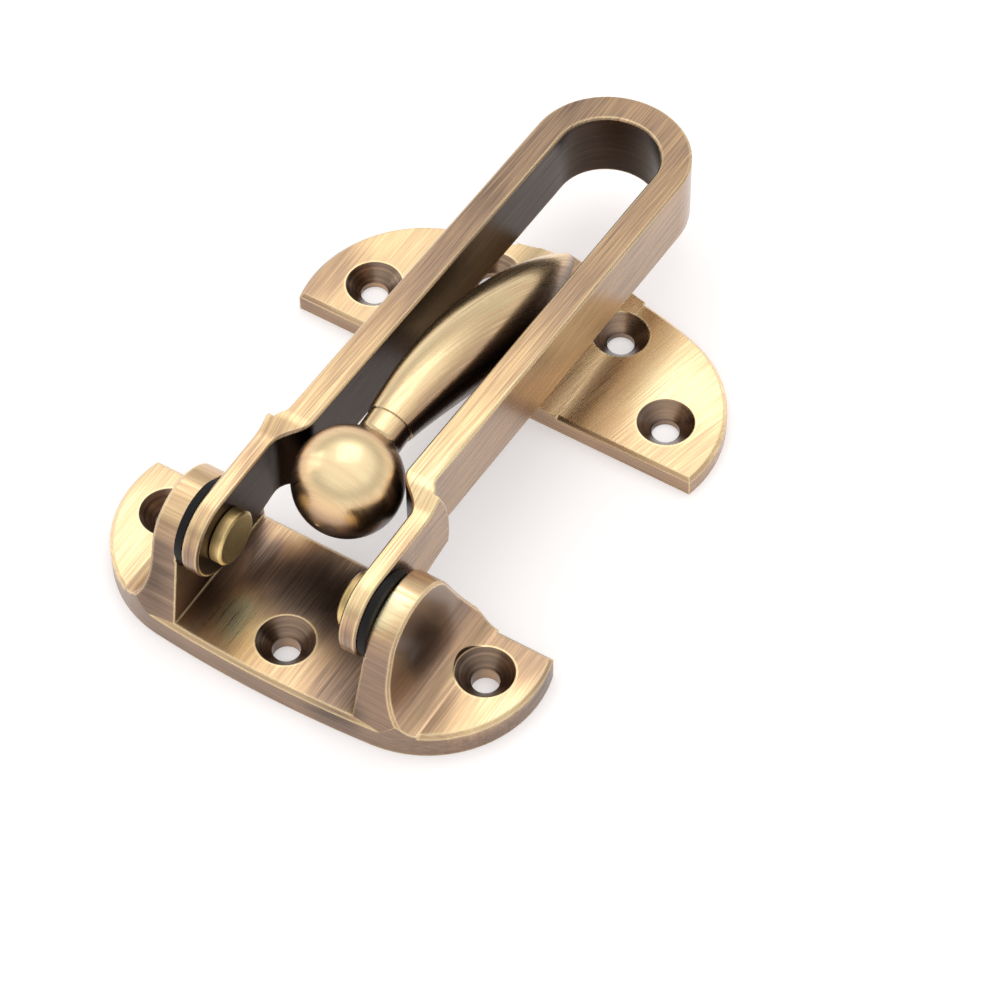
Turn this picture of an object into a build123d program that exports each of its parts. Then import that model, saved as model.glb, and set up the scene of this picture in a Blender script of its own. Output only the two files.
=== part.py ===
"""Door guard: a hinge plate with a swinging loop bar, and a ball plate whose ball the loop catches.

Millimetres, +Z out of the mounting surface, +Y from the hinge plate towards the ball plate.
The origin is on the back of the hinge plate, straight under the middle of the pivot axis.
"""
import os
from math import acos, atan2, cos, hypot, radians, sin, sqrt, tan

from build123d import *

os.makedirs("parts", exist_ok=True)

# Pivot of the bar
PIVOT_HEIGHT = 18.0         # pivot axis above the mounting surface
PIVOT_SETBACK = 14.0        # straight edge of the hinge plate to the pivot axis

# Hinge plate
HINGE_WIDTH = 70.0
HINGE_DEPTH = 24.5          # from the straight edge, which faces the ball plate
HINGE_THICK = 4.5
HINGE_CORNER_R = 18.3
HINGE_BOW_R = 197.0
HINGE_OUTER_HOLE_SPACING = 54.5
HINGE_OUTER_HOLE_INSET = 7.2     # from the straight edge
HINGE_MIDDLE_HOLE_INSET = 17.4   # from the straight edge

# Lugs of the hinge plate
LUG_RADIUS = 7.9            # round top of the lug
LUG_ROUND_OFFSET = 1.4      # its centre from the pivot, towards the straight edge
LUG_ROUND_DROP = 2.6        # and below the pivot
LUG_DRAFT = 3.0             # degrees, the gap between the lugs widens upwards
LUG_WALL = 4.25             # from the washer's seat to the lug's outer side
LUG_ROOT_WIDTH = 4.8        # hollow sweep from the lug's outer side into the plate
LUG_ROOT_HEIGHT = 9.6       # and how high up the lug it begins
LUG_FRONT_FOOT_INSET = 0.1  # lug's front face stands this far inside the plate's front edge
LUG_BACK_FOOT_HEIGHT = 7.4  # where the lug's back slope meets the straight edge

# Ball plate
BALL_PLATE_WIDTH = 70.0
BALL_DEPTH = 27.0
BALL_PLATE_THICK = 3.25
BALL_CORNER_R = 19.8
BALL_BOW_R = 70.0
PLATE_GAP = 38.2            # between the straight edges of the two plates
BALL_OUTER_HOLE_SPACING = 51.6
BALL_OUTER_HOLE_INSET = 7.75
BALL_INNER_HOLE_SPACING = 23.0
BALL_INNER_HOLE_INSET = 18.75

# Flared foot of the stem
FLARE_HALF_WIDTH = 11.4
FLARE_RIDGE_HEIGHT = 11.2
FLARE_RIDGE_END_INSET = 4.4     # ridge's end to the plate's far edge

# Stem and ball
BALL_RADIUS = 8.2
BALL_REACH = 14.2           # ball centre from the pivot axis, along the bar
BALL_HEIGHT = 22.2
BALL_TILT = 6.0             # degrees, the ball's axis rises towards the stem
BALL_SEAT = 7.1             # ball centre to the flat face on the neck
NECK_FLARE_RADIUS = 4.0     # where the neck meets the ball
NECK_FLARE_LENGTH = 1.3
NECK_RADIUS = 3.5
NECK_LENGTH = 4.0
STEM_START_RADIUS = 3.75
STEM_SWELL_RADIUS = 4.8
STEM_MIDDLE_RADIUS = 6.0
STEM_TAPER_RADIUS = 4.4
STEM_POINT_RADIUS = 1.0     # the stem ends in a point on the ridge's far end
STEM_POINT_SLOPE = 17.0     # degrees, how steeply the stem runs out to its point
STEM_POINT_PULL = 22.0      # length over which the stem keeps that slope
STEM_NECK_PULL = 8.0        # length over which it keeps the ball's axis
SPIGOT_RADIUS = 2.0
SPIGOT_LENGTH = 8.0

# Swing bar
BAR_HALF_WIDTH = 12.4
SLOT_HALF_WIDTH = 7.95
BAR_DEPTH = 11.9
BAR_DROOP = 3.4             # degrees, the bar sinks towards its loop end
BAR_TOP_AT_PIVOT = 27.85    # height of the bar's top line over the pivot axis
BAR_END = 98.8              # pivot axis to the outside of the loop
LOOP_END_THICK = 5.0
EYE_RADIUS = 7.0
CHEEK_THICK = 2.85
CHEEK_OUTER = 14.6
CHEEK_START = 18.6          # where the bar begins to widen to the cheeks
CHEEK_TAPER = 3.2           # over this length
PAD_THICK = 1.0             # raised pad outside each cheek
PAD_RADIUS = 18.0           # it ends on an arc round the pivot
CHEEK_DIP_START = 17.6      # where the upper side begins to dip
CHEEK_DIP_END = 12.0
CHEEK_DIP_HEIGHT = 0.15     # what is left there above the round eye
HEEL_ROUNDING = 4.0         # how far the bend of the lower side reaches each way
MOUTH_START = 17.8          # where the slot begins to widen to the mouth
MOUTH_TAPER = 5.8

# Pins and washers
PIN_RADIUS = 2.5
PIN_HEAD_RADIUS = 4.25
PIN_HEAD_THICK = 1.9
PIN_EDGE = 0.35
PIN_SOCKET_DEPTH = 2.9
WASHER_RADIUS = 6.6
WASHER_THICK = 1.2

# Screw holes
SCREW_HOLE_R = 2.1
COUNTERSINK_R = 4.35
COUNTERSINK_TOOL_R = 4.5    # full size of the cutter, which nicks the foot beside the hole

# Clearances and small edges
SIDE_CLEAR = 0.15           # each side of the turning cheek
BORE_CLEAR = 0.06           # round the pin in the eye and in the washer
SEAT_CLEAR = 0.02           # round the pin in its socket and the spigot in the stem
RIM_CLEAR = 0.3             # round the washer in its spot face
SPOT_DEPTH = 0.05           # how deep the washer's spot face is cut at the pivot's height
PLATE_EDGE = 0.6            # broken upper edge of the plates
BAR_EDGE = 0.3              # broken long edges of the bar
LUG_EDGE = 0.35             # broken outer edge of the lugs
OVERCUT = 1.0               # how far cutting bodies reach past the material


def d_outline(width, depth, corner_r, bow_r):
    """D-shaped plan: straight edge on y = 0 and round corners that run smoothly into a bow at y = depth."""
    corner_x = width / 2 - corner_r
    corner_y = depth - bow_r + sqrt((bow_r - corner_r) ** 2 - corner_x ** 2)
    edge_x = corner_x + sqrt(corner_r ** 2 - corner_y ** 2)
    share = corner_r / (bow_r - corner_r)
    touch = (corner_x * (1 + share), corner_y + (corner_y - depth + bow_r) * share)
    line = Line((-edge_x, 0), (edge_x, 0))
    line += ThreePointArc((edge_x, 0), (width / 2, corner_y), touch)
    line += ThreePointArc(touch, (0, depth), (-touch[0], touch[1]))
    line += ThreePointArc((-touch[0], touch[1]), (-width / 2, corner_y), (-edge_x, 0))
    return make_face(line)


def tangent_point(point, centre, radius, turn):
    """Point where the line from a point touches a circle; turn is +1 or -1 for the two sides."""
    reach_y = centre[0] - point[0]
    reach_z = centre[1] - point[1]
    distance = hypot(reach_y, reach_z)
    towards = atan2(-reach_z, -reach_y) + turn * acos(radius / distance)
    return (centre[0] + radius * cos(towards), centre[1] + radius * sin(towards))


def across(face, start, length):
    """Carry a profile drawn in y and z along X, from x = start."""
    return Pos(start, 0, 0) * extrude(Plane.YZ * face, length)


def along(face, start, length):
    """Carry a profile drawn in x and z along Y, from y = start."""
    return Pos(0, start, 0) * extrude(Plane.XZ * face, -length)


def countersunk_hole(x, y, thick):
    """Cutting body of one screw hole: a bore, a 90 degree cone and the cutter's round body above it."""
    cone_bottom = thick - (COUNTERSINK_R - SCREW_HOLE_R)
    cone_height = COUNTERSINK_TOOL_R - SCREW_HOLE_R
    upright = (Align.CENTER, Align.CENTER, Align.MIN)
    bore = Pos(0, 0, -OVERCUT) * Cylinder(SCREW_HOLE_R, cone_bottom + 2 * OVERCUT, align=upright)
    cone = Pos(0, 0, cone_bottom) * Cone(SCREW_HOLE_R, COUNTERSINK_TOOL_R, cone_height, align=upright)
    body = Cylinder(COUNTERSINK_TOOL_R, FLARE_RIDGE_HEIGHT, align=upright)
    return Pos(x, y, 0) * (bore + cone + Pos(0, 0, cone_bottom + cone_height) * body)


def edged_plate(outline, thick):
    """Flat plate on z = 0 whose upper edge is broken all round."""
    plate = extrude(outline, thick)
    return chamfer(plate.faces().sort_by(Axis.Z)[-1].edges(), PLATE_EDGE)


def s_curve(start, end):
    """Smooth step between two points of a plan that leaves and arrives along Y."""
    middle = (start[1] + end[1]) / 2
    return Bezier(start, (start[0], middle), (end[0], middle), end)


# Hinge plate

HINGE_FRONT = PIVOT_SETBACK - HINGE_DEPTH
LUG_ROUND_HEIGHT = PIVOT_HEIGHT - LUG_ROUND_DROP
LUG_TOP = LUG_ROUND_HEIGHT + LUG_RADIUS
WASHER_SEAT = CHEEK_OUTER + SIDE_CLEAR + WASHER_THICK
LUG_OUTER = WASHER_SEAT + LUG_WALL
LUG_ROOT_TOP = HINGE_THICK + LUG_ROOT_HEIGHT
ROUND_PULL = 0.45           # how far the sweep's control points lie from its corner


def lug_side_face():
    """Lug seen from the side: a round top with straight flanks down to the plate."""
    top = (LUG_ROUND_OFFSET, LUG_ROUND_HEIGHT)
    front_foot = (HINGE_FRONT + LUG_FRONT_FOOT_INSET, 0.0)
    back_foot = (PIVOT_SETBACK, LUG_BACK_FOOT_HEIGHT)
    front_touch = tangent_point(front_foot, top, LUG_RADIUS, -1)
    back_touch = tangent_point(back_foot, top, LUG_RADIUS, 1)
    flanks = Polyline(front_foot, front_touch, top, back_touch, back_foot, (PIVOT_SETBACK, 0.0), close=True)
    return make_face(flanks) + Pos(*top) * Circle(LUG_RADIUS)


def lug_inner(z):
    """Half the clear width between the lugs at a height z; it widens upwards by the draft."""
    return WASHER_SEAT - SPOT_DEPTH + tan(radians(LUG_DRAFT)) * (z - PIVOT_HEIGHT)


def lug_front_face(side):
    """Lug seen from the front: drafted inner side, outer side that sweeps out into the plate."""
    root_x = LUG_OUTER + LUG_ROOT_WIDTH
    high = LUG_TOP + OVERCUT
    line = Polyline((root_x, HINGE_THICK), (root_x, 0), (lug_inner(0), 0), (lug_inner(high), high),
                    (LUG_OUTER, high), (LUG_OUTER, LUG_ROOT_TOP))
    line += Bezier((LUG_OUTER, LUG_ROOT_TOP), (LUG_OUTER, HINGE_THICK + LUG_ROOT_HEIGHT * ROUND_PULL),
                   (root_x - LUG_ROOT_WIDTH * ROUND_PULL, HINGE_THICK), (root_x, HINGE_THICK))
    face = make_face(line)
    return face if side > 0 else mirror(face, about=Plane.YZ)


def make_lug(side):
    """One lug: the front profile and the side profile carried through each other, its outer edge broken."""
    lug = along(lug_front_face(side), HINGE_FRONT, HINGE_DEPTH)
    lug &= across(lug_side_face(), -HINGE_WIDTH / 2, HINGE_WIDTH)
    edges = lug.edges().filter_by(lambda edge: abs(abs(edge.center().X) - LUG_OUTER) < LUG_EDGE / 2)
    return chamfer(edges.filter_by(lambda edge: edge.center().Z > LUG_ROOT_TOP + LUG_EDGE), LUG_EDGE)


def make_hinge_plate():
    """Plate and lugs as one casting, with spot faces, pin sockets and screw holes cut in it."""
    outline = d_outline(HINGE_WIDTH, HINGE_DEPTH, HINGE_CORNER_R, HINGE_BOW_R)
    outline = Pos(0, PIVOT_SETBACK) * Rot(0, 0, 180) * outline
    casting = edged_plate(outline, HINGE_THICK)
    for side in (-1, 1):
        casting += make_lug(side) & extrude(outline, LUG_TOP)
    for side in (-1, 1):
        place = Pos(side * WASHER_SEAT, 0, PIVOT_HEIGHT) * Rot(0, 90 * side, 0)
        spot_face = Cylinder(WASHER_RADIUS + RIM_CLEAR, WASHER_THICK + SIDE_CLEAR + OVERCUT,
                             align=(Align.CENTER, Align.CENTER, Align.MAX))
        socket = Cylinder(PIN_RADIUS + SEAT_CLEAR, PIN_SOCKET_DEPTH + SEAT_CLEAR,
                          align=(Align.CENTER, Align.CENTER, Align.MIN))
        casting -= place * spot_face
        casting -= place * socket
        casting -= countersunk_hole(side * HINGE_OUTER_HOLE_SPACING / 2,
                                    PIVOT_SETBACK - HINGE_OUTER_HOLE_INSET, HINGE_THICK)
    casting -= countersunk_hole(0, PIVOT_SETBACK - HINGE_MIDDLE_HOLE_INSET, HINGE_THICK)
    return casting


# Pins and washers

CHEEK_INNER = CHEEK_OUTER - CHEEK_THICK


def make_pin(side):
    """Headed pin: a flat round head inside the cheek and a shank that ends in the lug's socket."""
    head_back = CHEEK_INNER - SIDE_CLEAR
    head_front = head_back - PIN_HEAD_THICK
    tip = WASHER_SEAT + PIN_SOCKET_DEPTH
    head = Pos(0, 0, head_front) * Cylinder(PIN_HEAD_RADIUS, PIN_HEAD_THICK,
                                            align=(Align.CENTER, Align.CENTER, Align.MIN))
    head = chamfer(head.edges().group_by(Axis.Z)[0], PIN_EDGE)
    shank = Pos(0, 0, head_back) * Cylinder(PIN_RADIUS, tip - head_back,
                                            align=(Align.CENTER, Align.CENTER, Align.MIN))
    return Pos(0, 0, PIVOT_HEIGHT) * Rot(0, 90 * side, 0) * (head + shank)


def make_washer(side):
    """Flat ring between the cheek and the lug's spot face."""
    ring = Cylinder(WASHER_RADIUS, WASHER_THICK, align=(Align.CENTER, Align.CENTER, Align.MAX))
    ring -= Cylinder(PIN_RADIUS + BORE_CLEAR, 3 * WASHER_THICK)
    return Pos(side * WASHER_SEAT, 0, PIVOT_HEIGHT) * Rot(0, 90 * side, 0) * ring


# Swing bar

DROOP = tan(radians(BAR_DROOP))
CHEEK_CORE = CHEEK_OUTER - PAD_THICK


def bar_top(y):
    """Height of the bar's straight upper side at a distance y from the pivot axis."""
    return BAR_TOP_AT_PIVOT - DROOP * y


def bar_plan():
    """Bar seen from above: a long loop that widens to the cheeks."""
    outer_centre = BAR_END - BAR_HALF_WIDTH
    far_side = Polyline((0, outer_centre), (BAR_HALF_WIDTH, outer_centre), (BAR_HALF_WIDTH, CHEEK_START))
    swell = s_curve((BAR_HALF_WIDTH, CHEEK_START), (CHEEK_CORE, CHEEK_START - CHEEK_TAPER))
    near_side = Polyline((CHEEK_CORE, CHEEK_START - CHEEK_TAPER), (CHEEK_CORE, -2 * EYE_RADIUS),
                         (0, -2 * EYE_RADIUS), (0, outer_centre))
    half = make_face(far_side + swell + near_side)
    return half + mirror(half, about=Plane.YZ) + Pos(0, outer_centre) * Circle(BAR_HALF_WIDTH)


def slot_plan():
    """Clear space inside the bar: the long slot, widening to the mouth between the cheeks."""
    slot_centre = BAR_END - LOOP_END_THICK - SLOT_HALF_WIDTH
    slot_side = Polyline((0, slot_centre), (SLOT_HALF_WIDTH, slot_centre), (SLOT_HALF_WIDTH, MOUTH_START))
    widening = s_curve((SLOT_HALF_WIDTH, MOUTH_START), (CHEEK_INNER, MOUTH_START - MOUTH_TAPER))
    mouth_side = Polyline((CHEEK_INNER, MOUTH_START - MOUTH_TAPER), (CHEEK_INNER, -3 * EYE_RADIUS),
                          (0, -3 * EYE_RADIUS), (0, slot_centre))
    half = make_face(slot_side + widening + mouth_side)
    return half + mirror(half, about=Plane.YZ) + Pos(0, slot_centre) * Circle(SLOT_HALF_WIDTH)


def bar_side_face():
    """Bar seen from the side: it droops to the loop's end and dips at the cheeks to the round eye."""
    eye = (0.0, PIVOT_HEIGHT)
    far = BAR_END + OVERCUT
    crest = (CHEEK_DIP_START, bar_top(CHEEK_DIP_START))
    dip = (CHEEK_DIP_END, PIVOT_HEIGHT + EYE_RADIUS + CHEEK_DIP_HEIGHT)
    upper_touch = tangent_point(dip, eye, EYE_RADIUS, 1)
    rise = (dip[1] - upper_touch[1]) / (dip[0] - upper_touch[0])
    pull = (CHEEK_DIP_START - CHEEK_DIP_END) / 2
    crest_pull = (crest[0] - pull, crest[1] + DROOP * pull)
    dip_pull = (dip[0] + pull, dip[1] + rise * pull)
    heel = (CHEEK_START, bar_top(CHEEK_START) - BAR_DEPTH)
    heel_far = (CHEEK_START + HEEL_ROUNDING, bar_top(CHEEK_START + HEEL_ROUNDING) - BAR_DEPTH)
    lower_touch = tangent_point(heel, eye, EYE_RADIUS, -1)
    heel_slope = (heel[1] - lower_touch[1]) / (heel[0] - lower_touch[0])
    heel_near = (heel[0] - HEEL_ROUNDING, heel[1] - heel_slope * HEEL_ROUNDING)
    line = Polyline(dip, upper_touch, eye, lower_touch, heel_near)
    line += Bezier(heel_near, heel, heel_far)
    line += Polyline(heel_far, (far, bar_top(far) - BAR_DEPTH), (far, bar_top(far)), crest)
    line += Bezier(crest, crest_pull, dip_pull, dip)
    return make_face(line) + Pos(*eye) * Circle(EYE_RADIUS)


def make_pad(side):
    """Raised pad outside a cheek: the cheek's side profile, ended by an arc round the pivot."""
    profile = bar_side_face() & Pos(0, PIVOT_HEIGHT) * Circle(PAD_RADIUS)
    pad = across(profile, CHEEK_CORE - PAD_THICK, 2 * PAD_THICK)
    pad = chamfer(pad.faces().sort_by(Axis.X)[-1].edges(), BAR_EDGE)
    return pad if side > 0 else mirror(pad, about=Plane.YZ)


def make_swing_bar():
    """Loop, cheeks and pads in one piece, with a bore through each eye."""
    height = BAR_TOP_AT_PIVOT + OVERCUT
    width = 2 * (CHEEK_OUTER + OVERCUT)
    bar = extrude(bar_plan() - slot_plan(), height) & across(bar_side_face(), -width / 2, width)
    flats = bar.faces().filter_by(lambda face: face.geom_type == GeomType.PLANE).sort_by(SortBy.AREA)
    flats = flats.filter_by(lambda face: abs(face.normal_at().Z) > abs(face.normal_at().X))[-2:]
    rims = flats[0].edges() + flats[1].edges()
    bar = chamfer(rims.filter_by(lambda edge: edge.length > BAR_HALF_WIDTH), BAR_EDGE)
    for side in (-1, 1):
        bar += make_pad(side)
    bore = Pos(0, 0, PIVOT_HEIGHT) * Rot(0, 90, 0) * Cylinder(PIN_RADIUS + BORE_CLEAR, width)
    return bar - bore


# Ball plate

PLATE_NEAR = PIVOT_SETBACK + PLATE_GAP
BALL_AXIS = Vector(0, cos(radians(BALL_TILT)), sin(radians(BALL_TILT)))
BALL_CENTRE = Vector(0, BALL_REACH, BALL_HEIGHT)
NECK_START = BALL_CENTRE + BALL_AXIS * BALL_SEAT
STEM_START = NECK_START + BALL_AXIS * NECK_LENGTH


def flare_front_face():
    """Foot seen from the front: two hollow flanks that rise to a ridge in the middle."""
    rise = FLARE_RIDGE_HEIGHT - BALL_PLATE_THICK
    hollow_r = (FLARE_HALF_WIDTH ** 2 + rise ** 2) / (2 * rise)
    half_turn = atan2(FLARE_HALF_WIDTH, hollow_r - rise) / 2
    bend = (FLARE_HALF_WIDTH - hollow_r * sin(half_turn),
            BALL_PLATE_THICK + hollow_r * (1 - cos(half_turn)))
    foot = (FLARE_HALF_WIDTH, BALL_PLATE_THICK)
    line = ThreePointArc(foot, bend, (0, FLARE_RIDGE_HEIGHT))
    line += Polyline((0, FLARE_RIDGE_HEIGHT), (0, 0), (FLARE_HALF_WIDTH, 0), foot)
    half = make_face(line)
    return half + mirror(half, about=Plane.YZ)


def flare_side_face():
    """Foot seen from the side: level ridge, bevelled down to the plate's far edge."""
    far = PLATE_NEAR + BALL_DEPTH
    return make_face(Polyline((PLATE_NEAR, 0), (PLATE_NEAR, FLARE_RIDGE_HEIGHT),
                              (far - FLARE_RIDGE_END_INSET, FLARE_RIDGE_HEIGHT),
                              (far, BALL_PLATE_THICK), (far, 0), close=True))


def make_neck():
    """Turned neck between ball and stem: it flares in a hollow sweep where it meets the ball."""
    end = NECK_LENGTH + OVERCUT
    flare = ThreePointArc((NECK_FLARE_RADIUS, 0),
                          ((NECK_RADIUS * 2 + NECK_FLARE_RADIUS) / 3, NECK_FLARE_LENGTH / 3),
                          (NECK_RADIUS, NECK_FLARE_LENGTH))
    line = flare + Polyline((NECK_RADIUS, NECK_FLARE_LENGTH), (NECK_RADIUS, end), (0, end), (0, 0),
                            (NECK_FLARE_RADIUS, 0))
    turned = revolve(make_face(line), Axis.Y)
    return Pos(*tuple(NECK_START)) * Rot(BALL_TILT, 0, 0) * turned


def make_stem():
    """Round stem that swells from the neck, bends down and narrows to a point on the ridge."""
    slope = radians(STEM_POINT_SLOPE)
    peak = Vector(0, PLATE_NEAR + BALL_DEPTH - FLARE_RIDGE_END_INSET, FLARE_RIDGE_HEIGHT)
    end = peak - Vector(0, sin(slope), cos(slope)) * STEM_POINT_RADIUS
    pull = Vector(0, -cos(slope), sin(slope)) * STEM_POINT_PULL
    path = Bezier(STEM_START, STEM_START + BALL_AXIS * STEM_NECK_PULL, end + pull, end)
    stations = ((0.0, STEM_START_RADIUS), (0.15, STEM_SWELL_RADIUS), (0.5, STEM_MIDDLE_RADIUS),
                (0.8, STEM_TAPER_RADIUS), (1.0, STEM_POINT_RADIUS))
    sections = []
    for share, radius in stations:
        plane = Plane(origin=path @ share, z_dir=path % share, x_dir=(1, 0, 0))
        sections.append(plane * Circle(radius))
    return loft(sections)


def make_ball_plate():
    """Plate, foot and stem as one casting, with a socket for the ball's spigot and screw holes."""
    outline = Pos(0, PLATE_NEAR) * d_outline(BALL_PLATE_WIDTH, BALL_DEPTH, BALL_CORNER_R, BALL_BOW_R)
    casting = edged_plate(outline, BALL_PLATE_THICK)
    flare = along(flare_front_face(), PLATE_NEAR, BALL_DEPTH)
    flare &= across(flare_side_face(), -FLARE_HALF_WIDTH, 2 * FLARE_HALF_WIDTH)
    casting += flare & extrude(outline, FLARE_RIDGE_HEIGHT)
    casting += make_stem()
    casting += make_neck()
    below = Box(BALL_PLATE_WIDTH, 2 * PLATE_NEAR + 2 * BALL_DEPTH, BALL_PLATE_WIDTH,
                align=(Align.CENTER, Align.CENTER, Align.MAX))
    casting -= below
    socket_plane = Plane(origin=NECK_START, z_dir=BALL_AXIS, x_dir=(1, 0, 0))
    casting -= extrude(socket_plane * Circle(SPIGOT_RADIUS + SEAT_CLEAR), SPIGOT_LENGTH + SEAT_CLEAR)
    for side in (-1, 1):
        casting -= countersunk_hole(side * BALL_OUTER_HOLE_SPACING / 2,
                                    PLATE_NEAR + BALL_OUTER_HOLE_INSET, BALL_PLATE_THICK)
        casting -= countersunk_hole(side * BALL_INNER_HOLE_SPACING / 2,
                                    PLATE_NEAR + BALL_INNER_HOLE_INSET, BALL_PLATE_THICK)
    return casting


def make_ball_head():
    """Turned ball with a flat against the neck and a spigot that enters the stem."""
    flat_radius = sqrt(BALL_RADIUS ** 2 - BALL_SEAT ** 2)
    line = ThreePointArc((0, -BALL_RADIUS), (BALL_RADIUS, 0), (flat_radius, BALL_SEAT))
    line += Polyline((flat_radius, BALL_SEAT), (SPIGOT_RADIUS, BALL_SEAT),
                     (SPIGOT_RADIUS, BALL_SEAT + SPIGOT_LENGTH), (0, BALL_SEAT + SPIGOT_LENGTH),
                     (0, -BALL_RADIUS))
    turned = revolve(make_face(line), Axis.Y)
    return Pos(*tuple(BALL_CENTRE)) * Rot(BALL_TILT, 0, 0) * turned


NODES = {
    "hinge_plate": make_hinge_plate(),
    "pivot_pin_left": make_pin(-1),
    "pivot_pin_right": make_pin(1),
    "friction_washer_left": make_washer(-1),
    "friction_washer_right": make_washer(1),
    "swing_bar": make_swing_bar(),
    "ball_plate": make_ball_plate(),
    "ball_head": make_ball_head(),
}

for name, shape in NODES.items():
    export_step(shape, f"parts/{name}.step")
    print(name, round(shape.volume, 1))
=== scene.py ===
import logging
import math
from dataclasses import dataclass
from enum import Enum
from typing import Any, Optional, Sequence, Union

import bpy
from mathutils import Matrix, Vector


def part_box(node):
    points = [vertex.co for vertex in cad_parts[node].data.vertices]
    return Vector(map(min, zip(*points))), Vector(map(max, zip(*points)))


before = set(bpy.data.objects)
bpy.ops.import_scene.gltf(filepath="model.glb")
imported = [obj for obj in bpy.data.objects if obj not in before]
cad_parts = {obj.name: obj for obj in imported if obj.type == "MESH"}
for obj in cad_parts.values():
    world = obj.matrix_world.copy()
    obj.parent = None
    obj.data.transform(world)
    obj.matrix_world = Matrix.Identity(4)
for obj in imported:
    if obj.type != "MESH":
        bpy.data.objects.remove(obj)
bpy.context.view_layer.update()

MM = 0.001
log = logging.getLogger("door_guard")

Colour = tuple[float, float, float, float]
Value = Union["Wire", float, int]
Span = tuple[float, float]

WHITE: Colour = (1.0, 1.0, 1.0, 1.0)


def srgb(red: int, green: int, blue: int) -> Colour:
    """Linear colour of an 8 bit screen colour.

    Args:
        red: red level, 0 to 255.
        green: green level, 0 to 255.
        blue: blue level, 0 to 255.

    Returns:
        Red, green, blue and an alpha of 1, in linear light.
    """
    def linear(level: int) -> float:
        """The screen's gamma curve undone, for one level."""
        share = level / 255
        return share / 12.92 if share <= 0.04045 else ((share + 0.055) / 1.055) ** 2.4
    return (linear(red), linear(green), linear(blue), 1.0)


# Shader expressions

class Wire:
    """One output socket of a node tree, used as a number in Python expressions."""

    def __init__(self, graph: "Graph", socket: bpy.types.NodeSocket) -> None:
        """Keep the socket and the graph that it belongs to."""
        self.graph = graph
        self.socket = socket

    def _math(self, operation: str, left: Value, right: Value) -> "Wire":
        """One Math node on two values, as a wire."""
        return self.graph.add("ShaderNodeMath", {"operation": operation}, {0: left, 1: right})

    def __add__(self, other: Value) -> "Wire":
        """This value plus another."""
        return self._math("ADD", self, other)

    __radd__ = __add__

    def __sub__(self, other: Value) -> "Wire":
        """This value less another."""
        return self._math("SUBTRACT", self, other)

    def __rsub__(self, other: Value) -> "Wire":
        """Another value less this one."""
        return self._math("SUBTRACT", other, self)

    def __mul__(self, other: Value) -> "Wire":
        """This value times another."""
        return self._math("MULTIPLY", self, other)

    __rmul__ = __mul__

    def __truediv__(self, other: Value) -> "Wire":
        """This value over another."""
        return self._math("DIVIDE", self, other)

    def __neg__(self) -> "Wire":
        """This value with its sign turned."""
        return self._math("MULTIPLY", self, -1.0)

    def __abs__(self) -> "Wire":
        """This value without its sign."""
        return self._math("ABSOLUTE", self, 0.0)

    def __pow__(self, other: Value) -> "Wire":
        """This value raised to a power."""
        return self._math("POWER", self, other)

    def least(self, other: Value) -> "Wire":
        """The smaller of two values."""
        return self._math("MINIMUM", self, other)

    def most(self, other: Value) -> "Wire":
        """The larger of two values."""
        return self._math("MAXIMUM", self, other)

    def over(self, limit: float) -> "Wire":
        """1 where this value is over a limit, else 0."""
        return self._math("GREATER_THAN", self, limit)

    def step(self, low: float, high: float) -> "Wire":
        """A smooth step from 0 at low to 1 at high.

        Args:
            low: value that gives 0.
            high: value that gives 1; it may lie below low, and the step then falls.

        Returns:
            The stepped value.
        """
        sockets = {"Value": self, "From Min": low, "From Max": high, "To Min": 0.0, "To Max": 1.0}
        return self.graph.add("ShaderNodeMapRange", {"interpolation_type": "SMOOTHSTEP"}, sockets)


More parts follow.
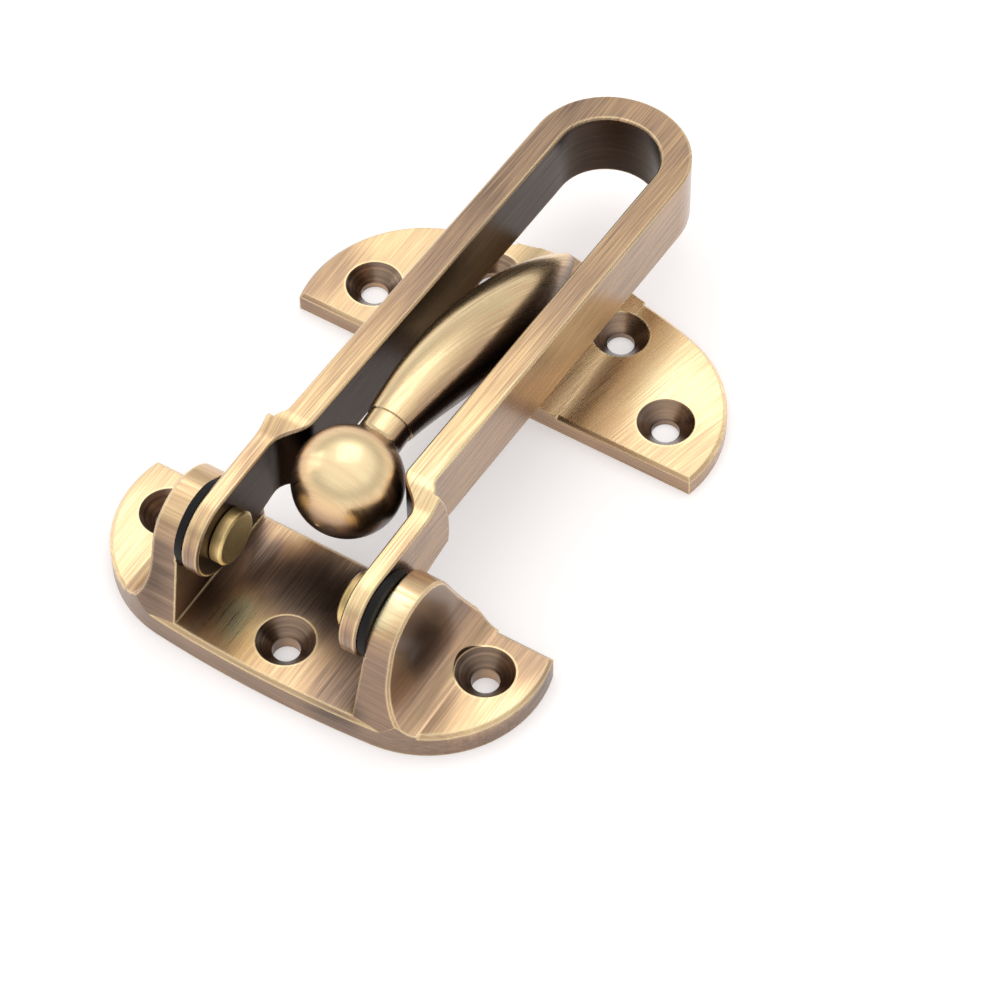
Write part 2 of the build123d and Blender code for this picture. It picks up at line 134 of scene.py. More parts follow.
class Graph:
    """The node tree of one material, with one method that makes every node."""

    def __init__(self, tree: bpy.types.NodeTree) -> None:
        """Empty the tree, so that it holds only what is added here."""
        self.tree = tree
        tree.nodes.clear()

    def add(self, kind: str, settings: Optional[dict[str, Any]] = None,
            sockets: Optional[dict[Union[str, int], Any]] = None, out: Union[str, int] = 0) -> Wire:
        """Make a node.

        Args:
            kind: the node's type name.
            settings: the node's own properties, or "stops" for a colour ramp's places and colours.
            sockets: values or wires for its input sockets, by name or number.
            out: the output socket that is handed back, by name or number.

        Returns:
            That output as a wire, whose socket.node is the node.
        """
        node = self.tree.nodes.new(kind)
        for name, value in (settings or {}).items():
            if name == "stops":
                self._set_stops(node.color_ramp, value)
            else:
                setattr(node, name, value)
        for name, value in (sockets or {}).items():
            if isinstance(value, Wire):
                self.tree.links.new(value.socket, node.inputs[name])
            else:
                node.inputs[name].default_value = value
        if not node.outputs:
            return Wire(self, None)
        return Wire(self, node.outputs[out])

    @staticmethod
    def _set_stops(ramp: bpy.types.ColorRamp, stops: Sequence[tuple[float, Colour]]) -> None:
        """Give a colour ramp its stops, from left to right.

        Args:
            ramp: the ramp, which starts with two stops.
            stops: places from 0 to 1, each with its colour.
        """
        while len(ramp.elements) < len(stops):
            ramp.elements.new(1.0)
        for element, (place, colour) in zip(ramp.elements, stops):
            element.position = place
            element.color = colour

    def blend(self, factor: Value, first: Any, second: Any, mode: str = "MIX") -> Wire:
        """Mix two colours.

        Args:
            factor: share of the second colour, 0 to 1.
            first: colour or wire.
            second: colour or wire.
            mode: how the two are combined.

        Returns:
            The mixed colour.
        """
        return self.add("ShaderNodeMix", {"data_type": "RGBA", "blend_type": mode},
                        {0: factor, 6: first, 7: second}, 2)

    def parts(self, vector: Wire) -> tuple[Wire, Wire, Wire]:
        """The x, y and z of a vector."""
        split = self.add("ShaderNodeSeparateXYZ", None, {0: vector}).socket.node
        return tuple(Wire(self, output) for output in split.outputs)

    def vector(self, x: Value, y: Value, z: Value) -> Wire:
        """A vector from three values."""
        return self.add("ShaderNodeCombineXYZ", None, {0: x, 1: y, 2: z})

    def noise(self, place: Wire, scale: float, detail: float = 2.0) -> Wire:
        """Smooth noise from 0 to 1, mostly near 0.5."""
        return self.add("ShaderNodeTexNoise", None, {"Vector": place, "Scale": scale, "Detail": detail})


def new_material(name: str) -> tuple[bpy.types.Material, Graph]:
    """An empty node material and its graph.

    Args:
        name: the material's name.

    Returns:
        The material and the graph over its tree.
    """
    material = bpy.data.materials.new(name)
    material.use_nodes = True
    return material, Graph(material.node_tree)


# Finishes

Stops = tuple[tuple[float, Colour], ...]

BRASS: Stops = (
    (0.00, srgb(44, 37, 34)), (0.20, srgb(86, 70, 60)), (0.42, srgb(146, 123, 107)),
    (0.62, srgb(194, 162, 132)), (0.80, srgb(236, 204, 160)), (0.97, srgb(254, 240, 196)))
PIN_BRASS: Stops = (
    (0.00, srgb(40, 33, 25)), (0.22, srgb(82, 66, 46)), (0.45, srgb(128, 106, 76)),
    (0.65, srgb(176, 150, 104)), (0.82, srgb(222, 192, 132)), (0.97, srgb(252, 234, 176)))

WARM_LIGHT: Colour = (1.0, 0.93, 0.74, 1.0)

# Spans of a cosine or a share over which a mask rises, or falls where the second number is the lower
LEVEL_FACE: Span = (0.2, 0.8)           # of the normal's z, from upright walls to level faces
FLAT_FACE: Span = (0.78, 0.92)          # of the same, on faces that are all but flat
STEEP_FACE: Span = (0.6, 0.3)           # of the same, where a face turns steep
SEEN_FROM_ABOVE: Span = (-0.6, -0.2)    # of the same, leaving out the underside
TURNED_FACE: Span = (0.3, 0.8)          # of one part of the normal, as a face turns that way
SLOT_FACE: Span = (0.2, 0.7)            # of how squarely a wall faces the slot's middle line
DEEP_CORNER: Span = (0.15, 0.85)        # of the share of sky that a corner hides
EDGE_TURN: Span = (0.015, 0.09)         # of how far the rounded normal turns away at an edge, where wear and a painted highlight show

# Cosines past which a face takes the brush marks of its kind
LEVEL_MARKS = 0.5                       # top and underside of the bar
SIDE_MARKS = 0.8                        # its sides
FRONT_MARKS = 0.4                       # fronts and backs of a plate
LUG_SIDE_MARKS = 0.3                    # sides of what stands on it

MASK_SAMPLES = 4                        # rays for each corner and edge mask


class Brush(Enum):
    """Which way the brush marks of a finish run."""

    BAR = "along the bar, and level round its end"
    PLATE = "along the guard's length on flat faces, and level on upright ones"
    ROUND_PIVOT = "in rings round the pivot's axis"
    ROUND_BALL = "in rings round the ball's axis"


@dataclass(frozen=True)
class Marks:
    """One kind of brush mark: noise drawn out along the brush's way."""

    width: float                        # mm across the marks
    length: float                       # mm along them
    detail: float
    spread: float                       # contrast round the middle value

    def draw(self, graph: Graph, run: Wire) -> Wire:
        """The marks as a value.

        Args:
            graph: the material's graph.
            run: position in mm, with x across the marks.

        Returns:
            About 0 to 1, mostly near 0.5.
        """
        scaled = graph.add("ShaderNodeVectorMath", {"operation": "MULTIPLY"},
                           {0: run, 1: (1 / self.width, 1 / self.length, 1 / self.length)})
        return (graph.noise(scaled, 1.0, self.detail) - 0.5) * self.spread + 0.5


HAIRS = Marks(0.24, 11.0, 1.0, 1.8)
BANDS = Marks(0.6, 20.0, 2.0, 1.8)
CLOUDS = Marks(5.0, 14.0, 2.0, 1.7)


@dataclass(frozen=True)
class PaintedPatch:
    """A soft patch of painted reflection: painted shade where the amount is below 0, painted highlight
    where it is above.
    """

    place: tuple[float, float, float]   # mm
    reach: tuple[float, float, float]   # mm, half its length along each axis
    amount: float
    core: float = 0.15                  # share of the reach that has the full amount

    def tone(self, graph: Graph, place: Wire) -> Wire:
        """What the patch adds to the tone.

        Args:
            graph: the material's graph.
            place: position in mm.

        Returns:
            The full amount in the middle, falling smoothly to 0 at the patch's reach.
        """
        offset = graph.add("ShaderNodeVectorMath", {"operation": "SUBTRACT"}, {0: place, 1: self.place})
        shares = graph.add("ShaderNodeVectorMath", {"operation": "DIVIDE"}, {0: offset, 1: self.reach})
        distance = graph.add("ShaderNodeVectorMath", {"operation": "LENGTH"}, {0: shares}, "Value")
        return distance.step(1.0, self.core) * self.amount


@dataclass(frozen=True)
class PaintedShading:
    """Painted shading and reflection of a round form: its tone falls away as its surface turns from one
    way.
    """

    way: tuple[float, float, float]
    turned: float           # cosine at which the tone is darkest
    straight: float         # cosine at which it is lightest
    dark: float
    light: float
    above_mm: float = -100.0
    blend_mm: float = 0.8

    def apply(self, graph: Graph, tone: Value, normal: Wire, height: Wire) -> Value:
        """Put the painted shading of the round form in place of a flat tone, above a height.

        Args:
            graph: the material's graph.
            tone: the flat tone.
            normal: surface normal.
            height: z in mm.

        Returns:
            The tone with the painted shading in its place.
        """
        cosine = graph.add("ShaderNodeVectorMath", {"operation": "DOT_PRODUCT"},
                           {0: normal, 1: Vector(self.way).normalized()}, "Value")
        round_tone = cosine.step(self.turned, self.straight) * (self.light - self.dark) + self.dark
        share = height.step(self.above_mm, self.above_mm + self.blend_mm)
        return tone + (round_tone - tone) * share


@dataclass(frozen=True)
class Countersinks:
    """Screw holes of a plate: dark turned cones with a painted glint, each inside a thin rim, rubbed and
    with a painted highlight.
    """

    centres: tuple[tuple[float, float], ...]
    radius: float = 4.35                # mm
    blur: float = 0.03                  # mm, half the width of the mask's soft edge
    mouth: Span = (0.3, 0.2)            # mm past the radius where steep faces still count as wall
    rim: float = 0.26                   # mm
    rim_core: float = 0.3               # share of the rim's width with its full tone
    rim_tone: float = 0.92
    rim_share: float = 0.75
    tone: float = 0.24
    ring_width: float = 0.3             # mm
    ring_drift: float = 0.02            # what keeps the turned rings from being perfect circles
    ring_depth: float = 0.5
    glint: float = 0.3                  # painted glint: what a wall gains that looks along -Y

    def apply(self, graph: Graph, tone: Value, place: Wire, ways: Sequence[Wire]) -> Value:
        """Put the holes' tones into a plate's.

        Args:
            graph: the material's graph.
            tone: the plate's tone.
            place: position in mm.
            ways: x, y and z of the surface normal.

        Returns:
            The tone with the holes in it.
        """
        up = ways[2]
        x, y, _ = graph.parts(place)
        flat = graph.vector(x, y, 0.0)
        distance: Optional[Wire] = None
        for centre in self.centres:
            from_centre = graph.add("ShaderNodeVectorMath", {"operation": "DISTANCE"},
                                    {0: flat, 1: (*centre, 0.0)}, "Value")
            distance = from_centre if distance is None else distance.least(from_centre)
        rings = graph.noise(graph.vector(distance / self.ring_width, (x + y) * self.ring_drift, 0.0), 1.0)
        # Turned rings, and a painted glint on walls that look along -Y.
        hole_tone = self.tone + (rings - 0.5) * self.ring_depth + (-ways[1]).most(0.0) * self.glint
        hole = distance.step(self.radius + self.blur, self.radius - self.blur)
        outer, inner = self.mouth
        steep = distance.step(self.radius + outer, self.radius + inner) * up.step(*STEEP_FACE)
        hole = hole.most(steep) * up.step(*SEEN_FROM_ABOVE)
        # The rim: rubbed metal with a painted highlight, on flat faces only.
        rim = 1 - abs(distance - (self.radius + self.rim / 2)).step(self.rim * self.rim_core, self.rim)
        tone = tone + (self.rim_tone - tone) * rim * up.step(*FLAT_FACE) * self.rim_share
        return tone + (hole_tone - tone) * hole


@dataclass(frozen=True)
class BrassFinish:
    """Antique brass: dark patina, brushed through to pale metal, rubbed bright along its edges with painted
    highlights there; painted reflection and shade set its tone on walls, undersides, corners, patches and
    round forms.
    """

    name: str
    stops: Stops = BRASS
    brush: Brush = Brush.PLATE
    tone: float = 0.8                   # 0 is the darkest, for deep patina and painted shade, 1 the brightest, for rubbed metal and painted highlight
    tone_far: float = 0.8               # the same at the far end; the run between is painted reflection
    near: float = 0.0                   # mm along Y, where the near tone ends
    far: float = 1.0                    # and where the far tone begins
    lean: float = 0.0                   # what each mm to the right adds, as painted reflection
    wall_front: float = 0.42            # painted shading: tone of walls that look along -Y or Y
    wall_side: float = 0.37             # painted shading: tone of walls that look along X
    under_shade: float = 0.2                  # painted shade: tone of faces that look down
    hair: float = 0.085                 # how strongly single brush hairs show
    band: float = 0.03                  # the soft bands between them
    cloud: float = 0.045                # and slow patches
    open_gain: float = 2.0              # how much more the marks show outside the slot
    wall_calm: float = 0.35             # how much less they show on upright walls
    slant: float = 0.0                  # sideways run of the marks for each mm along Y
    fan: float = 0.0                    # what each mm to the right adds to that run
    raised_mm: float = 5.2              # what stands higher than this has its own marks
    raised_level: float = 1.0           # 1 for level marks there, 0 for marks along it
    wall_stretch: float = 20.0          # how much finer the marks change across a wall
    turned_stretch: float = 12.0        # and across turned rings
    cavity_mm: float = 7.0              # how far off other surfaces still darken a corner
    cavity: float = 0.34                # how much darker deep corners are, by patina and painted shade
    edge_mm: float = 0.42               # radius that edges are rounded to, which also sets the width of their worn, painted-highlit band
    # tone of worn edges with their painted highlight
    edge_tone: float = 0.97
    edge_share: float = 0.85
    edge_spread: float = 0.3            # how much the wear and its painted highlight vary from band to band
    roughness: float = 0.29
    hair_roughness: float = 0.12        # how much rougher the darkest hairs are than the palest
    patina_roughness: float = 0.08      # and dark patina than bright metal
    warmth: float = 0.25                # how yellow the metal looks
    warmth_spread: float = 0.3          # how much that varies from cloud to cloud
    relief: float = 0.2                 # strength of the marks' bumps
    relief_mm: float = 0.02             # and their height
    hair_relief: float = 0.7            # share of that height in the hairs, the rest in the bands
    coat: float = 0.25                  # thin lacquer outside the slot
    coat_roughness: float = 0.15
    painted_patch_shift: Span = (3.0, 6.0)     # mm by which the clouds push a painted patch's outline, x and y
    # patches of painted reflection, shade and highlight
    painted_patches: tuple[PaintedPatch, ...] = ()
    facing: Optional[PaintedShading] = None
    holes: Optional[Countersinks] = None
    inside_radius: float = 0.0          # mm; walls that face the slot's middle line stay dark
    inside_end: float = 0.0             # mm; far end of that middle line
    inside_tone: float = 0.09
    axis_height: float = 18.0           # mm; the axis that turned marks run round

    def material(self) -> bpy.types.Material:
        """The finish as a node material.

        Returns:
            A material whose base colour, roughness and bump follow brush marks, corners and edges, with
            painted light and shade in its base colour.
        """
        material, graph = new_material(self.name)
        coordinates = graph.add("ShaderNodeTexCoord", None, None, "Object")
        place = graph.add("ShaderNodeVectorMath", {"operation": "SCALE"}, {0: coordinates, "Scale": 1 / MM})
        normal = Wire(graph, coordinates.socket.node.outputs["Normal"])
        parts = graph.parts(place)
        ways = graph.parts(normal)
        hair, band, cloud = self._marks(graph, parts, ways)
        streaks = (hair - 0.5) * self.hair + (band - 0.5) * self.band + (cloud - 0.5) * self.cloud
        tone, upright = self._ground(graph, place, parts, normal, ways, cloud)
        streaks = streaks * (1 - upright * self.wall_calm)
        tone = tone + streaks * self.open_gain
        # Corners where the sky is hidden: darker by patina and by painted shade.
        tone = tone - self._hollow(graph) * self.cavity
        bevel_normal = graph.add("ShaderNodeBevel", {"samples": MASK_SAMPLES}, {"Radius": self.edge_mm * MM})
        geometry = graph.add("ShaderNodeNewGeometry", None, None, "Normal")
        at_edge = self._worn_and_highlit_edges(graph, bevel_normal, geometry)
        rubbed = at_edge * (1 + (band - 0.5) * self.edge_spread) * self.edge_share
        inside = self._inside(parts, ways, upright)
        tone = tone + (self.inside_tone + streaks - tone) * inside
        # Edges: rubbed bright metal and a painted highlight.
        tone = tone + (self.edge_tone - tone) * rubbed.least(1.0)
        if self.holes:
            tone = self.holes.apply(graph, tone, place, ways)
        base = graph.add("ShaderNodeValToRGB", {"stops": self.stops}, {0: tone})
        warmth = (self.warmth + (cloud - 0.5) * self.warmth_spread).most(0.0)
        base = graph.blend(warmth, base, WARM_LIGHT, "MULTIPLY")
        rough = self.roughness + (0.5 - hair) * self.hair_roughness + (0.5 - tone) * self.patina_roughness
        height = hair * self.hair_relief + band * (1 - self.hair_relief)
        rounded = graph.add("ShaderNodeMix", {"data_type": "VECTOR"},
                            {0: at_edge, 4: geometry, 5: bevel_normal}, 1)
        bump = graph.add("ShaderNodeBump", None,
                         {"Strength": self.relief, "Distance": self.relief_mm * MM,
                          "Height": height, "Normal": rounded})
        shader = graph.add("ShaderNodeBsdfPrincipled", None,
                           {"Base Color": base, "Metallic": 1.0, "Roughness": rough, "Normal": bump,
                            "Coat Weight": (1 - inside) * self.coat, "Coat Roughness": self.coat_roughness})
        graph.add("ShaderNodeOutputMaterial", None, {"Surface": shader})
        return material

    def _ground(self, graph: Graph, place: Wire, parts: Sequence[Wire], normal: Wire,
                ways: Sequence[Wire], cloud: Wire) -> tuple[Value, Wire]:
        """The tone before streaks: its base, a painted reflection along the piece, painted shading of walls
        and undersides, painted patches and the painted shading of round forms.

        Args:
            graph: the material's graph.
            place: position in mm.
            parts: its x, y and z.
            normal: surface normal.
            ways: its x, y and z.
            cloud: slow noise, which blurs the painted patches' outlines.

        Returns:
            The tone, and a mask of upright walls.
        """
        # Painted reflection: the tone runs from near to far along Y and leans with x.
        along = graph.add("ShaderNodeMapRange", None,
                          {"Value": parts[1], "From Min": self.near, "From Max": self.far,
                           "To Min": self.tone, "To Max": self.tone_far})
        tone = along + parts[0] * self.lean
        sideways, lengthwise = self.painted_patch_shift
        shift = graph.vector((cloud - 0.5) * sideways, (cloud - 0.5) * lengthwise, 0.0)
        shifted = graph.add("ShaderNodeVectorMath", {"operation": "ADD"}, {0: place, 1: shift})
        # Painted shading: upright walls take their own tones by which way they face.
        walls = abs(ways[1]).step(*TURNED_FACE) * (self.wall_front - self.wall_side) + self.wall_side
        upright = 1 - ways[2].step(*LEVEL_FACE)
        tone = tone + (walls - tone) * upright
        # Painted reflection, shade and highlight, patch by patch.
        for painted_patch in self.painted_patches:
            tone = tone + painted_patch.tone(graph, shifted)
        # Painted shading and reflection of a round form.
        if self.facing:
            tone = self.facing.apply(graph, tone, normal, parts[2])
        # Painted shade on faces that look down.
        down = (-ways[2]).step(*TURNED_FACE)
        return tone + (self.under_shade - tone) * down, upright

    def _marks(self, graph: Graph, parts: Sequence[Wire],
               ways: Sequence[Wire]) -> tuple[Wire, Wire, Wire]:
        """Brush marks, which run as the finish's brush says.

        Args:
            graph: the material's graph.
            parts: x, y and z in mm.
            ways: x, y and z of the surface normal.

        Returns:
            Single hairs, soft bands and slow clouds, each about 0 to 1.
        """
        x, y, z = parts
        if self.brush is Brush.BAR:
            round_end = y.over(self.inside_end) * (1 - abs(ways[2]).over(LEVEL_MARKS))
            side = abs(ways[0]).over(SIDE_MARKS).most(round_end)
            first = graph.vector(x, y, z)
            second = graph.vector(z, y, x)
        elif self.brush is Brush.PLATE:
            raised = z.over(self.raised_mm)
            side = abs(ways[1]).over(FRONT_MARKS) * (1 - raised)
            side = side.most(raised * (1 - abs(ways[0]).over(LUG_SIDE_MARKS)) * self.raised_level)
            run_height = z * (1 - raised) * self.wall_stretch
            first = graph.vector(x + (self.slant + x * self.fan) * y, y, run_height)
            second = graph.vector(z, x, y * self.wall_stretch)
        else:
            level = z - self.axis_height
            beside = y if self.brush is Brush.ROUND_PIVOT else x
            axial = x if self.brush is Brush.ROUND_PIVOT else y
            side = 0.0
            from_axis = (beside * beside + level * level) ** 0.5
            first = second = graph.vector(from_axis, level, axial * self.turned_stretch)
        run = graph.add("ShaderNodeMix", {"data_type": "VECTOR"}, {0: side, 4: first, 5: second}, 1)
        return HAIRS.draw(graph, run), BANDS.draw(graph, run), CLOUDS.draw(graph, run)

    def _hollow(self, graph: Graph) -> Wire:
        """Share of the sky that a hollow hides.

        Args:
            graph: the material's graph.

        Returns:
            0 in the open, 1 deep in a corner.
        """
        sky = graph.add("ShaderNodeAmbientOcclusion", {"samples": MASK_SAMPLES, "only_local": True},
                        {"Distance": self.cavity_mm * MM}, "AO")
        return (1 - sky).step(*DEEP_CORNER)

    def _worn_and_highlit_edges(self, graph: Graph, bevel_normal: Wire, geometry: Wire) -> Wire:
        """1 on edges, where the rounded normal turns away from the surface's own; they take wear and a
        painted highlight.

        Args:
            graph: the material's graph.
            bevel_normal: the rounded normal.
            geometry: the surface's own normal.

        Returns:
            The mask of worn edges with their painted highlight.
        """
        likeness = graph.add("ShaderNodeVectorMath", {"operation": "DOT_PRODUCT"},
                             {0: bevel_normal, 1: geometry}, "Value")
        return (1 - likeness).step(*EDGE_TURN)

    def _inside(self, parts: Sequence[Wire], ways: Sequence[Wire], upright: Wire) -> Wire:
        """1 on walls that face the middle line of the loop, else 0.

        Args:
            parts: x, y and z in mm.
            ways: x, y and z of the surface normal.
            upright: 1 on upright walls.

        Returns:
            The mask, or 0 where the piece has no slot.
        """
        if not self.inside_radius:
            return upright * 0.0
        beyond = (parts[1] - self.inside_end).most(0.0)
        facing = -(parts[0] * ways[0] + beyond * ways[1]) / self.inside_radius
        return facing.step(*SLOT_FACE) * upright


@dataclass(frozen=True)
class WasherFinish:
    """Black moulded washer with a fine grain."""

    name: str
    black: Colour = srgb(15, 13, 12)
    grey: Colour = srgb(32, 29, 27)
    scuffs: float = 0.5                 # how grey the scuffed patches are
    scuff_span: Span = (0.5, 0.75)
    scuffs_per_mm: float = 0.7
    grain: float = 0.4                  # how much the grain shows in the colour
    grain_per_mm: float = 3.2
    grain_detail: float = 3.0
    roughness: float = 0.6
    grain_roughness: float = 0.2
    relief: float = 0.3
    relief_mm: float = 0.02
    gloss: float = 0.25

    def material(self) -> bpy.types.Material:
        """The finish as a node material.

        Returns:
            A material whose colour, roughness and bump follow the grain.
        """
        material, graph = new_material(self.name)
        coordinates = graph.add("ShaderNodeTexCoord", None, None, "Object")
        place = graph.add("ShaderNodeVectorMath", {"operation": "SCALE"}, {0: coordinates, "Scale": 1 / MM})
        grain = graph.noise(place, self.grain_per_mm, self.grain_detail)
        scuff = graph.noise(place, self.scuffs_per_mm).step(*self.scuff_span)
        base = graph.blend(scuff * self.scuffs + (grain - 0.5) * self.grain, self.black, self.grey)
        bump = graph.add("ShaderNodeBump", None,
                         {"Strength": self.relief, "Distance": self.relief_mm * MM, "Height": grain})
        rough = self.roughness + (grain - 0.5) * self.grain_roughness
        shader = graph.add("ShaderNodeBsdfPrincipled", None,
                           {"Base Color": base, "Roughness": rough,
                            "Specular IOR Level": self.gloss, "Normal": bump})
        graph.add("ShaderNodeOutputMaterial", None, {"Surface": shader})
        return material


def dress(node: str, material: bpy.types.Material) -> None:
    """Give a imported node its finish.

    Args:
        node: the node's name.
        material: the finish, put in the node's first material slot.
    """
    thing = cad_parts[node]
    thing.material_slots[0].material = material
    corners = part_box(node)
    size = tuple(round((high - low) / MM, 1) for low, high in zip(*corners))
    log.info("%s dressed as %s, %s mm", node, material.name, size)


# Sub-assemblies

@dataclass
class HingeSide:
    """Hinge plate with its lugs, pins and washers."""

    thickness: float = 4.5
    hole_spacing: float = 54.5
    hole_y: float = 6.8
    middle_hole_y: float = -3.4

    def plate(self) -> BrassFinish:
        """The plate's finish.

        Returns:
            Brass with painted reflection and shade: bright at both ends, and dark between the lugs and
                below them.
        """
        reach = self.hole_spacing / 2
        top = self.thickness
        return BrassFinish(
            "hinge_plate_brass", tone=0.72, tone_far=0.72, edge_mm=0.55, roughness=0.33,
            # Painted patches of shade and highlight on the plate and lugs.
            painted_patches=(PaintedPatch((0.0, 5.5, top), (22.0, 9.5, 9.0), -0.44),
                     PaintedPatch((-6.0, 12.0, top), (22.0, 7.0, 7.0), -0.08),
                     PaintedPatch((-13.5, -1.0, top), (4.5, 7.0, 5.0), -0.16),
                     PaintedPatch((-8.5, -3.5, top), (5.5, 6.0, 3.0), 0.24),
                     PaintedPatch((-8.3, 0.6, top), (4.8, 4.8, 3.0), 0.22),
                     PaintedPatch((-11.5, 8.0, top), (5.5, 5.0, 3.0), -0.2),
                     PaintedPatch((12.0, -4.0, top), (7.5, 14.0, 6.0), -0.34),
                     PaintedPatch((20.0, 2.0, 13.0), (4.5, 9.0, 10.0), -0.18),
                     PaintedPatch((16.0, -3.0, 23.0), (5.0, 6.0, 4.0), 0.35),
                     PaintedPatch((24.5, -2.0, top), (6.0, 8.0, 6.0), -0.08),
                     PaintedPatch((31.0, 13.0, top), (14.0, 10.0, 6.0), -0.16),
                     PaintedPatch((-31.0, 0.0, top), (12.0, 16.0, 3.0), 0.15),
                     PaintedPatch((-20.0, -8.0, 12.0), (6.0, 8.0, 12.0), -0.16),
                     PaintedPatch((33.0, 0.0, top), (7.0, 12.0, 3.0), 0.14)),
            holes=Countersinks(((-reach, self.hole_y), (reach, self.hole_y), (0.0, self.middle_hole_y))))

    def build(self) -> None:
        """Dress the plate, both pins and both washers."""
        dress("hinge_plate", self.plate().material())
        pins = BrassFinish(
            "pin_brass", stops=PIN_BRASS, brush=Brush.ROUND_PIVOT, tone=0.7, tone_far=0.7, wall_front=0.85,
            wall_side=0.95, cavity=0.1, cavity_mm=3.0, edge_mm=0.3, roughness=0.4).material()
        washers = WasherFinish("washer_black").material()
        for side in ("left", "right"):
            dress(f"pivot_pin_{side}", pins)
            dress(f"friction_washer_{side}", washers)


@dataclass
class SwingBar:
    """The loop bar, brushed along its top, with painted reflection paler towards the cheeks, and dark
    inside its slot.
    """

    slot_radius: float = 7.95
    slot_centre: float = 85.85

    def build(self) -> None:
        """Dress the bar."""
        finish = BrassFinish(
            "bar_brass", brush=Brush.BAR, tone=0.8, tone_far=0.5, near=22.0, far=62.0, lean=0.004,
            wall_front=0.47, wall_side=0.49, hair=0.15, under_shade=0.45, warmth=0.38,
            inside_radius=self.slot_radius, inside_end=self.slot_centre,
            # Painted patches of shade on the arms and highlight at the loop end.
            painted_patches=(PaintedPatch((-12.5, 10.0, 25.0), (5.0, 8.0, 5.0), -0.12),
                     PaintedPatch((12.8, 6.0, 23.0), (4.5, 10.0, 6.0), -0.15),
                     PaintedPatch((0.0, 98.0, 24.0), (14.0, 8.0, 8.0), 0.06)))
        dress("swing_bar", finish.material())


@dataclass
class BallSide:
    """Ball plate with its stem, and the ball on its end."""

    outer_spacing: float = 51.6
    outer_y: float = 59.95
    inner_spacing: float = 23.0
    inner_y: float = 70.95
    patch_height: float = 3.2
    ball_height: float = 22.2

    def plate(self) -> BrassFinish:
        """The plate's finish.

        Returns:
            Brass with fanned brush marks, a far side brightened by painted reflection, and painted shading
            that leaves the stem palest at the upper left.
        """
        outer = self.outer_spacing / 2
        inner = self.inner_spacing / 2
        top = self.patch_height
        return BrassFinish(
            "ball_plate_brass", tone=0.75, tone_far=0.82, near=52.0, far=79.0,
            wall_front=0.52, wall_side=0.52, slant=-0.1, fan=-0.0035, edge_mm=0.35, edge_tone=0.92,
            raised_mm=3.4, raised_level=0.0, cavity=0.22,
            # Painted patches of shade and highlight on the plate.
            painted_patches=(PaintedPatch((15.0, 56.0, top), (8.0, 8.0, 5.0), 0.05),
                     PaintedPatch((-35.0, 60.0, top), (9.0, 14.0, 5.0), -0.24),
                     PaintedPatch((25.0, 66.0, top), (12.0, 12.0, 5.0), 0.14)),
            # Painted shading of the stem, palest at the upper left.
            facing=PaintedShading((-0.26, -0.1, 0.96), turned=-0.25, straight=0.82, dark=0.2, light=0.84,
                          above_mm=4.4),
            holes=Countersinks(((-outer, self.outer_y), (outer, self.outer_y),
                                (-inner, self.inner_y), (inner, self.inner_y))))

    def ball(self) -> BrassFinish:
        """The ball's finish.

        Returns:
            Smooth brass, turned round the ball's axis and palest where it faces the light.
        """
        return BrassFinish(
            "ball_brass", brush=Brush.ROUND_BALL, hair=0.015, band=0.02, cloud=0.03, cavity=0.15,
            edge_mm=0.2, roughness=0.31, axis_height=self.ball_height,
            # Painted shading and reflection of the ball, darkest where it turns away from above.
            facing=PaintedShading((0.2, -0.3, 0.93), turned=-0.1, straight=0.93, dark=0.16, light=0.88))

    def build(self) -> None:
        """Dress the plate and the ball."""
        dress("ball_plate", self.plate().material())
        dress("ball_head", self.ball().material())


# Studio

@dataclass(frozen=True)
class Lamp:
    """A square soft lamp that points at the object."""

    name: str
    place: tuple[float, float, float]   # metres
    width: float                        # metres
    power: float                        # watts

    def build(self, target: Vector) -> None:
        """Hang the lamp.

        Args:
            target: what it points at, in metres.
        """
        light = bpy.data.lights.new(self.name, "AREA")
        light.shape = "SQUARE"
        light.size = self.width
        light.energy = self.power
        lamp = bpy.data.objects.new(self.name, light)
        lamp.location = self.place
        lamp.rotation_mode = "QUATERNION"
        lamp.rotation_quaternion = (Vector(self.place) - target).to_track_quat("Z", "Y")
        bpy.context.scene.collection.objects.link(lamp)


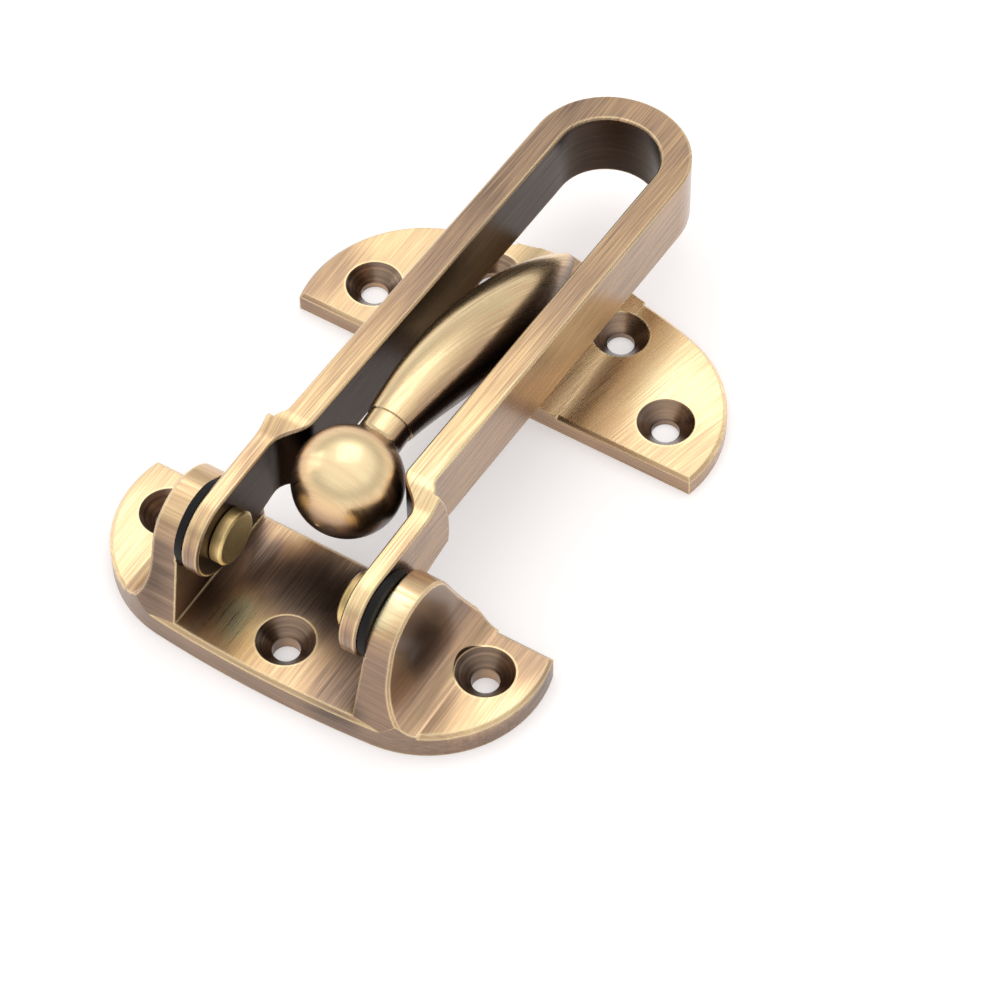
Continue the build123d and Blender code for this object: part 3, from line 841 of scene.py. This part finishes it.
@dataclass
class Studio:
    """Pale floor, plain soft light and the camera at the photograph's angle."""

    azimuth_deg: float = 32.36
    elevation_deg: float = 52.866
    roll_deg: float = -0.766
    distance: float = 0.61848
    target: tuple[float, float, float] = (0.011088, 0.036795, 0.0)
    lens_mm: float = 150.773
    sensor_mm: float = 36.0
    floor_size: float = 3.0
    floor_colour: Colour = srgb(232, 229, 228)
    glow_colour: Colour = srgb(255, 252, 251)
    glow: float = 0.36
    sky_top: float = 1.05
    sky_side: float = 0.6
    sky_backdrop: float = 1.0
    top_span: Span = (0.4, 0.75)        # of height over distance, where the bright top begins
    backdrop_span: Span = (0.35, 0.15)  # of the same, where the backdrop ends
    clip: Span = (0.05, 10.0)           # nearest and farthest that the camera sees, in metres
    lamps: tuple[Lamp, ...] = (Lamp("lamp_top", (-0.10, 0.25, 0.60), 0.45, 0.5),
                               Lamp("lamp_left", (-0.70, -0.10, 0.35), 0.40, 0.4))

    def build(self) -> None:
        """Make the floor, the world, the lamps and the camera."""
        self._floor()
        self._world()
        for lamp in self.lamps:
            lamp.build(Vector(self.target))
        self._camera()
        bpy.context.scene.view_settings.view_transform = "Standard"

    def _floor(self) -> None:
        """A square floor on z = 0, white to the camera and to reflections, that keeps soft shadows."""
        half = self.floor_size / 2
        mesh = bpy.data.meshes.new("floor")
        corners = [(-half, -half, 0), (half, -half, 0), (half, half, 0), (-half, half, 0)]
        mesh.from_pydata(corners, [], [(0, 1, 2, 3)])
        floor = bpy.data.objects.new("floor", mesh)
        bpy.context.scene.collection.objects.link(floor)
        material, graph = new_material("floor_white")
        diffuse = graph.add("ShaderNodeBsdfDiffuse", None, {"Color": self.floor_colour})
        glow = graph.add("ShaderNodeEmission", None, {"Color": self.glow_colour, "Strength": self.glow})
        lit = graph.add("ShaderNodeAddShader", None, {0: diffuse, 1: glow})
        rays = graph.add("ShaderNodeLightPath").socket.node.outputs
        camera, glossy, through = (
            Wire(graph, rays[f"Is {kind} Ray"]) for kind in ("Camera", "Glossy", "Transmission"))
        seen = camera.most(glossy).most(through)
        shader = graph.add("ShaderNodeMixShader", None, {0: seen, 1: diffuse, 2: lit})
        graph.add("ShaderNodeOutputMaterial", None, {"Surface": shader})
        mesh.materials.append(material)

    def _world(self) -> None:
        """A white backdrop round the horizon, a dimmer band above it and a bright light overhead."""
        world = bpy.data.worlds.new("studio_sky")
        bpy.context.scene.world = world
        world.use_nodes = True
        graph = Graph(world.node_tree)
        way = graph.add("ShaderNodeTexCoord", None, None, "Generated")
        height = graph.parts(way)[2]
        overhead = height.step(*self.top_span) * (self.sky_top - self.sky_side)
        backdrop = height.step(*self.backdrop_span) * (self.sky_backdrop - self.sky_side)
        level = overhead + backdrop + self.sky_side
        sky = graph.add("ShaderNodeBackground", None, {"Color": WHITE, "Strength": level})
        graph.add("ShaderNodeOutputWorld", None, {"Surface": sky})

    def _camera(self) -> None:
        """The camera looks back along azimuth and elevation at its target, turned by a small roll."""
        turn = math.radians(self.azimuth_deg)
        rise = math.radians(self.elevation_deg)
        roll = math.radians(self.roll_deg)
        back = Vector((math.sin(turn) * math.cos(rise), -math.cos(turn) * math.cos(rise), math.sin(rise)))
        level = Vector((math.cos(turn), math.sin(turn), 0.0))
        up = back.cross(level)
        right = level * math.cos(roll) + up * math.sin(roll)
        top = up * math.cos(roll) - level * math.sin(roll)
        data = bpy.data.cameras.new("photo_camera")
        data.sensor_width = self.sensor_mm
        data.lens = self.lens_mm
        data.clip_start, data.clip_end = self.clip
        camera = bpy.data.objects.new("photo_camera", data)
        camera.matrix_world = Matrix.Translation(Vector(self.target) + back * self.distance) @ Matrix(
            (right, top, back)).transposed().to_4x4()
        bpy.context.scene.collection.objects.link(camera)
        bpy.context.scene.camera = camera


def main() -> None:
    """Build and dress each sub-assembly, then the studio."""
    logging.basicConfig(level=logging.INFO, format="%(name)s: %(message)s")
    for part in (HingeSide(), SwingBar(), BallSide(), Studio()):
        part.build()
        log.info("%s done", type(part).__name__)


if __name__ == "__main__":
    main()
